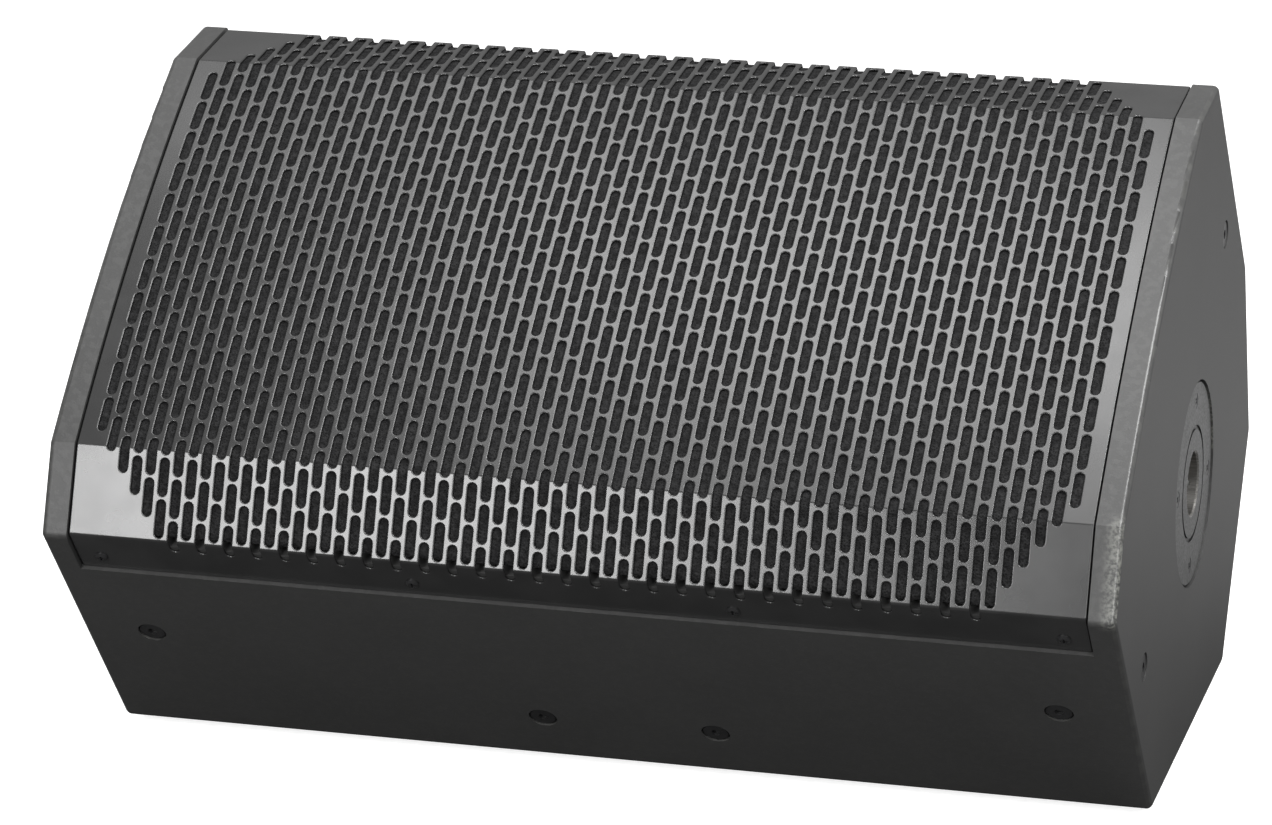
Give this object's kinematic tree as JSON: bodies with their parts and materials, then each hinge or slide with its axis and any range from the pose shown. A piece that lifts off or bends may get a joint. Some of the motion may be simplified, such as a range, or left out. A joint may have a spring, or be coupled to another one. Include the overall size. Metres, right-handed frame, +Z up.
{
  "type": "stage monitor wedge",
  "caption": "Two-way wooden floor wedge loudspeaker with a bowed slotted steel grille, pole socket, hand cup and rear sockets.",
  "frame": {"origin": "on the floor under the middle of the wedge: the bottom centre of its box, at the feet", "axes": "+X across the cabinet to the pole-socket side, +Y from the performer's side to the back, +Z up"},
  "size_m": [0.6, 0.4124, 0.3693],
  "materials": {
    "cabinet_paint": "fine textured black paint on plywood",
    "bare_plywood": "sawn",
    "grille_paint": "semi-gloss black",
    "grille_foam": "open-cell foam",
    "black_screws": "black oxide",
    "basket_paint": "matt black",
    "rubber": "matt",
    "coated_cloth": "doped cloth",
    "paper_cone": "pressed paper",
    "coil_former": "polyimide film",
    "copper": "lacquered copper wire",
    "spider_cloth": "resin-dipped cloth",
    "zinc_steel": "zinc plate",
    "ferrite": "ground ferrite",
    "brass_terminals": "plated",
    "black_plastic": "moulded, fine grain",
    "titanium_foil": "thin titanium foil",
    "socket_steel": "black paint, bare steel in the bore",
    "plate_paint": "satin black",
    "nylon": "natural",
    "circuit_board": "green solder mask",
    "capacitor_film": "yellow film wrap",
    "resistor_cement": "cement",
    "cable_sheath": "matt sheath",
    "fleece": "polyester fleece"
  },
  "bodies": {
    "root": {"side_panel_left": "cabinet_paint", "side_panel_right": "cabinet_paint", "top_panel": "cabinet_paint", "lower_front_panel": "cabinet_paint", "floor_panel": "cabinet_paint", "rear_panel": "cabinet_paint", "upper_rear_panel": "cabinet_paint", "front_baffle": "cabinet_paint", "baffle_battens": "bare_plywood", "grille": "grille_paint", "grille_foam": "grille_foam", "grille_screws": "black_screws", "woofer_basket": "basket_paint", "woofer_gasket": "rubber", "woofer_surround": "coated_cloth", "woofer_spider": "spider_cloth", "woofer_top_plate": "zinc_steel", "woofer_magnet": "ferrite", "woofer_back_plate": "zinc_steel", "woofer_terminals": "brass_terminals", "woofer_screws": "black_screws", "horn": "black_plastic", "horn_screws": "black_screws", "driver_pole_plate": "zinc_steel", "driver_bolts": "zinc_steel", "driver_phase_plug": "black_plastic", "driver_magnet": "ferrite", "driver_top_plate": "zinc_steel", "driver_suspension": "coated_cloth", "driver_clamp_ring": "black_plastic", "driver_rear_cover": "black_plastic", "port_tube_upper": "black_plastic", "port_tube_lower": "black_plastic", "pole_socket": "socket_steel", "pole_socket_screws": "black_screws", "pole_lock_screw": "zinc_steel", "recessed_bolts": "black_screws", "bolt_inserts": "zinc_steel", "rubber_feet": "rubber", "feet_screws": "zinc_steel", "handle_cup": "black_plastic", "handle_screws": "black_screws", "connector_plate": "plate_paint", "connector_plate_screws": "black_screws", "input_socket": "black_plastic", "link_socket": "black_plastic", "board_standoffs": "nylon", "crossover_board": "circuit_board", "crossover_coils": "copper", "crossover_capacitors": "capacitor_film", "crossover_resistors": "resistor_cement", "input_cable": "cable_sheath", "woofer_cable": "cable_sheath", "driver_cable": "cable_sheath", "acoustic_lining": "fleece"},
    "cone_assembly": {"woofer_cone": "paper_cone", "woofer_dust_cap": "paper_cone", "voice_coil_former": "coil_former", "voice_coil_winding": "copper"},
    "diaphragm": {"driver_diaphragm": "titanium_foil"}
  },
  "joints": [
    {"name": "cone_slide", "type": "slide", "parent": "root", "child": "cone_assembly", "axis": [0, -0.592, 0.8059], "range_m": [-0.006, 0.006], "stiffness_N_per_m": 5000, "deforming": ["woofer_surround", "woofer_spider"]},
    {"name": "diaphragm_slide", "type": "slide", "parent": "root", "child": "diaphragm", "axis": [0, -0.592, 0.8059], "range_m": [-0.0004, 0.0004], "stiffness_N_per_m": 14000, "deforming": ["driver_suspension"]}
  ]
}
